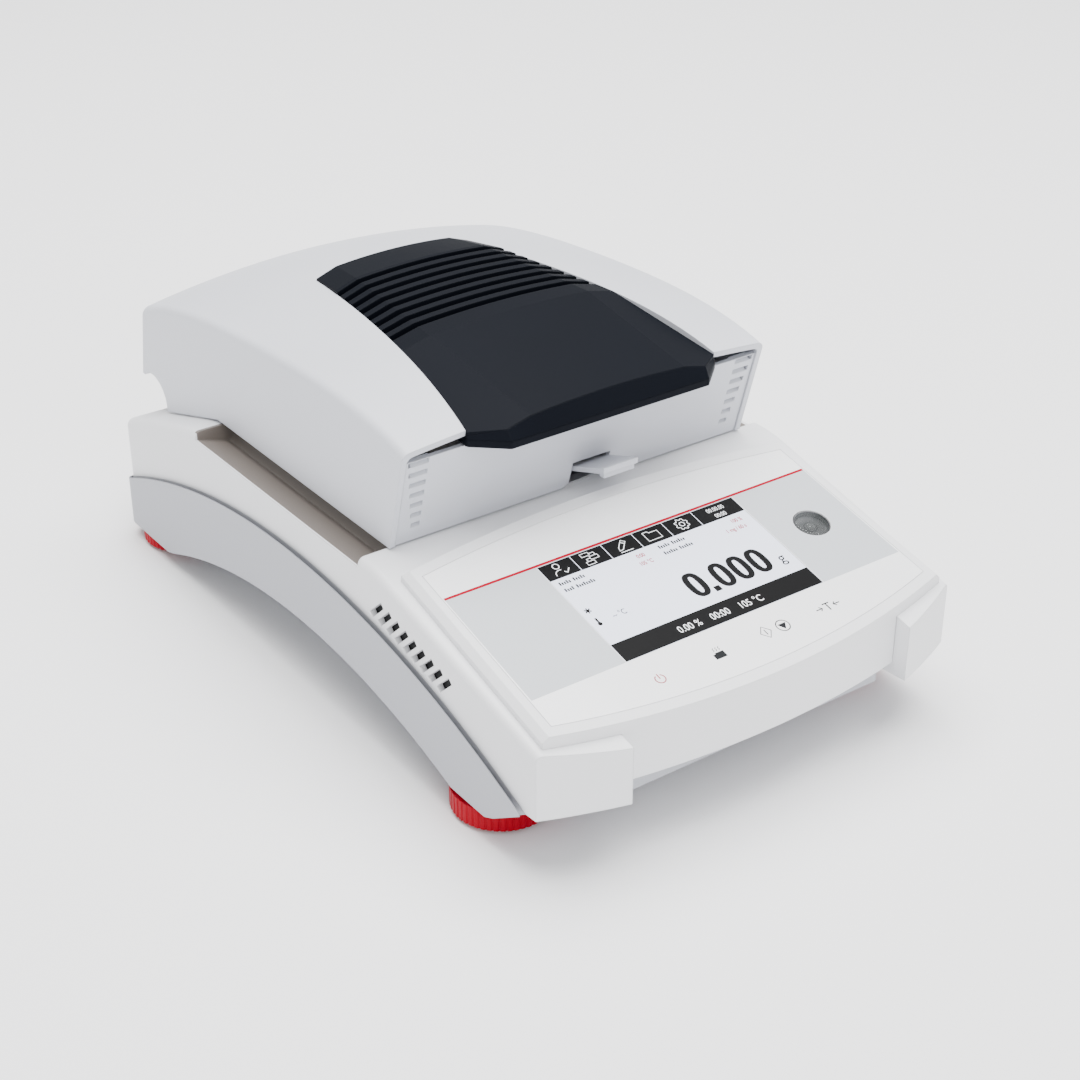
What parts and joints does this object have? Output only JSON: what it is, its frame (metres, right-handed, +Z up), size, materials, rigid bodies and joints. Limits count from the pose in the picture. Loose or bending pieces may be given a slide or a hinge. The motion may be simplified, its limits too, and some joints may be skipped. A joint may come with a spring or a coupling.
{
  "type": "halogen moisture analyzer",
  "caption": "Benchtop moisture analyzer: a weighing pan in a round chamber under a hinged heating hood, with a sloping display panel in front and levelling feet below.",
  "frame": {"origin": "on the table under the middle of the base, at the height of the feet's undersides", "axes": "+X to the user's right, +Y to the rear, +Z up"},
  "size_m": [0.21, 0.346, 0.1486],
  "materials": {
    "housing_white": "satin",
    "band_grey": "satin",
    "film": "smooth",
    "screen": "smooth",
    "vial": "clear",
    "holder": "satin",
    "board": "satin",
    "supply": "satin",
    "socket": "satin",
    "wheel_red": "satin",
    "pad": "matt",
    "cell": "machined",
    "tray": "brushed",
    "shield": "satin",
    "pan": "bright",
    "handler": "satin",
    "cover_dark": "satin",
    "heater": "satin",
    "mirror": "polished",
    "lamp": "clear",
    "clip": "satin",
    "glass": "clear",
    "screw": "zinc plated"
  },
  "bodies": {
    "base": {"upper_housing": "housing_white", "display_housing": "housing_white", "bottom_housing": "band_grey", "control_film": "film", "lcd_module": "screen", "level_vial": "vial", "level_holder": "holder", "key_switches": "holder", "display_board": "board", "main_board": "board", "power_supply": "supply", "power_inlet": "socket", "serial_port": "supply", "usb_port": "supply", "load_cell_plate": "cell", "load_cell": "cell", "chamber_tray": "tray", "draft_shield": "shield", "hinge_brackets": "screw", "hinge_pins": "screw", "housing_screws": "screw"},
    "lid": {"hood_shell": "housing_white", "hood_front_panel": "housing_white", "vent_cover": "cover_dark", "heater_housing": "heater", "reflector": "mirror", "halogen_lamp": "lamp", "lamp_clips": "clip", "protective_glass": "glass", "glass_retainer": "tray", "temperature_sensor": "clip", "hinge_arms": "heater", "lid_screws": "screw"},
    "pan_support": {"pan_support": "cell"},
    "pan_handler": {"pan_handler": "handler"},
    "sample_pan": {"sample_pan": "pan"},
    "key_power": {"key_power": "housing_white"},
    "key_heater": {"key_heater": "housing_white"},
    "key_start": {"key_start": "housing_white"},
    "key_tare": {"key_tare": "housing_white"},
    "foot_pad_front_left": {"foot_pad_front_left": "pad"},
    "foot_wheel_front_left": {"foot_wheel_front_left": "wheel_red"},
    "foot_pad_front_right": {"foot_pad_front_right": "pad"},
    "foot_wheel_front_right": {"foot_wheel_front_right": "wheel_red"},
    "foot_pad_rear_left": {"foot_pad_rear_left": "pad"},
    "foot_wheel_rear_left": {"foot_wheel_rear_left": "wheel_red"},
    "foot_pad_rear_right": {"foot_pad_rear_right": "pad"},
    "foot_wheel_rear_right": {"foot_wheel_rear_right": "wheel_red"}
  },
  "joints": [
    {"name": "lid_hinge", "type": "hinge", "parent": "base", "child": "lid", "pos_m": [0, 0.161, 0.07], "axis": [-1, 0, 0], "range_deg": [0, 80]},
    {"name": "pan_support_slide", "type": "slide", "parent": "base", "child": "pan_support", "axis": [0, 0, 1], "range_m": [-0.0003, 0], "stiffness_N_per_m": 20000},
    {"name": "handler_lift", "type": "slide", "parent": "base", "child": "pan_handler", "axis": [0, 0, 1], "range_m": [0, 0.0015]},
    {"name": "pan_lift", "type": "slide", "parent": "pan_handler", "child": "sample_pan", "axis": [0, 0, 1], "range_m": [0, 0.0065]},
    {"name": "key_power_press", "type": "slide", "parent": "base", "child": "key_power", "axis": [0, -0.2317, 0.9728], "range_m": [-0.0003, 0], "stiffness_N_per_m": 4000},
    {"name": "key_heater_press", "type": "slide", "parent": "base", "child": "key_heater", "axis": [0, -0.2317, 0.9728], "range_m": [-0.0003, 0], "stiffness_N_per_m": 4000},
    {"name": "key_start_press", "type": "slide", "parent": "base", "child": "key_start", "axis": [0, -0.2317, 0.9728], "range_m": [-0.0003, 0], "stiffness_N_per_m": 4000},
    {"name": "key_tare_press", "type": "slide", "parent": "base", "child": "key_tare", "axis": [0, -0.2317, 0.9728], "range_m": [-0.0003, 0], "stiffness_N_per_m": 4000},
    {"name": "foot_front_left_lift", "type": "slide", "parent": "base", "child": "foot_pad_front_left", "axis": [0, 0, 1], "range_m": [-0.00801, 0]},
    {"name": "foot_front_left_turn", "type": "hinge", "parent": "foot_pad_front_left", "child": "foot_wheel_front_left", "pos_m": [-0.0845, -0.112, 0], "axis": [0, 0, 1], "range_deg": [0, 1920]},
    {"name": "foot_front_right_lift", "type": "slide", "parent": "base", "child": "foot_pad_front_right", "axis": [0, 0, 1], "range_m": [-0.00801, 0]},
    {"name": "foot_front_right_turn", "type": "hinge", "parent": "foot_pad_front_right", "child": "foot_wheel_front_right", "pos_m": [0.0845, -0.112, 0], "axis": [0, 0, 1], "range_deg": [0, 1920]},
    {"name": "foot_rear_left_lift", "type": "slide", "parent": "base", "child": "foot_pad_rear_left", "axis": [0, 0, 1], "range_m": [-0.00801, 0]},
    {"name": "foot_rear_left_turn", "type": "hinge", "parent": "foot_pad_rear_left", "child": "foot_wheel_rear_left", "pos_m": [-0.0845, 0.1515, 0], "axis": [0, 0, 1], "range_deg": [0, 1920]},
    {"name": "foot_rear_right_lift", "type": "slide", "parent": "base", "child": "foot_pad_rear_right", "axis": [0, 0, 1], "range_m": [-0.00801, 0]},
    {"name": "foot_rear_right_turn", "type": "hinge", "parent": "foot_pad_rear_right", "child": "foot_wheel_rear_right", "pos_m": [0.0845, 0.1515, 0], "axis": [0, 0, 1], "range_deg": [0, 1920]}
  ],
  "couplings": [
    {"joint": "foot_front_left_lift", "follows": "foot_front_left_turn", "m_per_rad": -0.00023873},
    {"joint": "foot_front_right_lift", "follows": "foot_front_right_turn", "m_per_rad": -0.00023873},
    {"joint": "foot_rear_left_lift", "follows": "foot_rear_left_turn", "m_per_rad": -0.00023873},
    {"joint": "foot_rear_right_lift", "follows": "foot_rear_right_turn", "m_per_rad": -0.00023873}
  ]
}
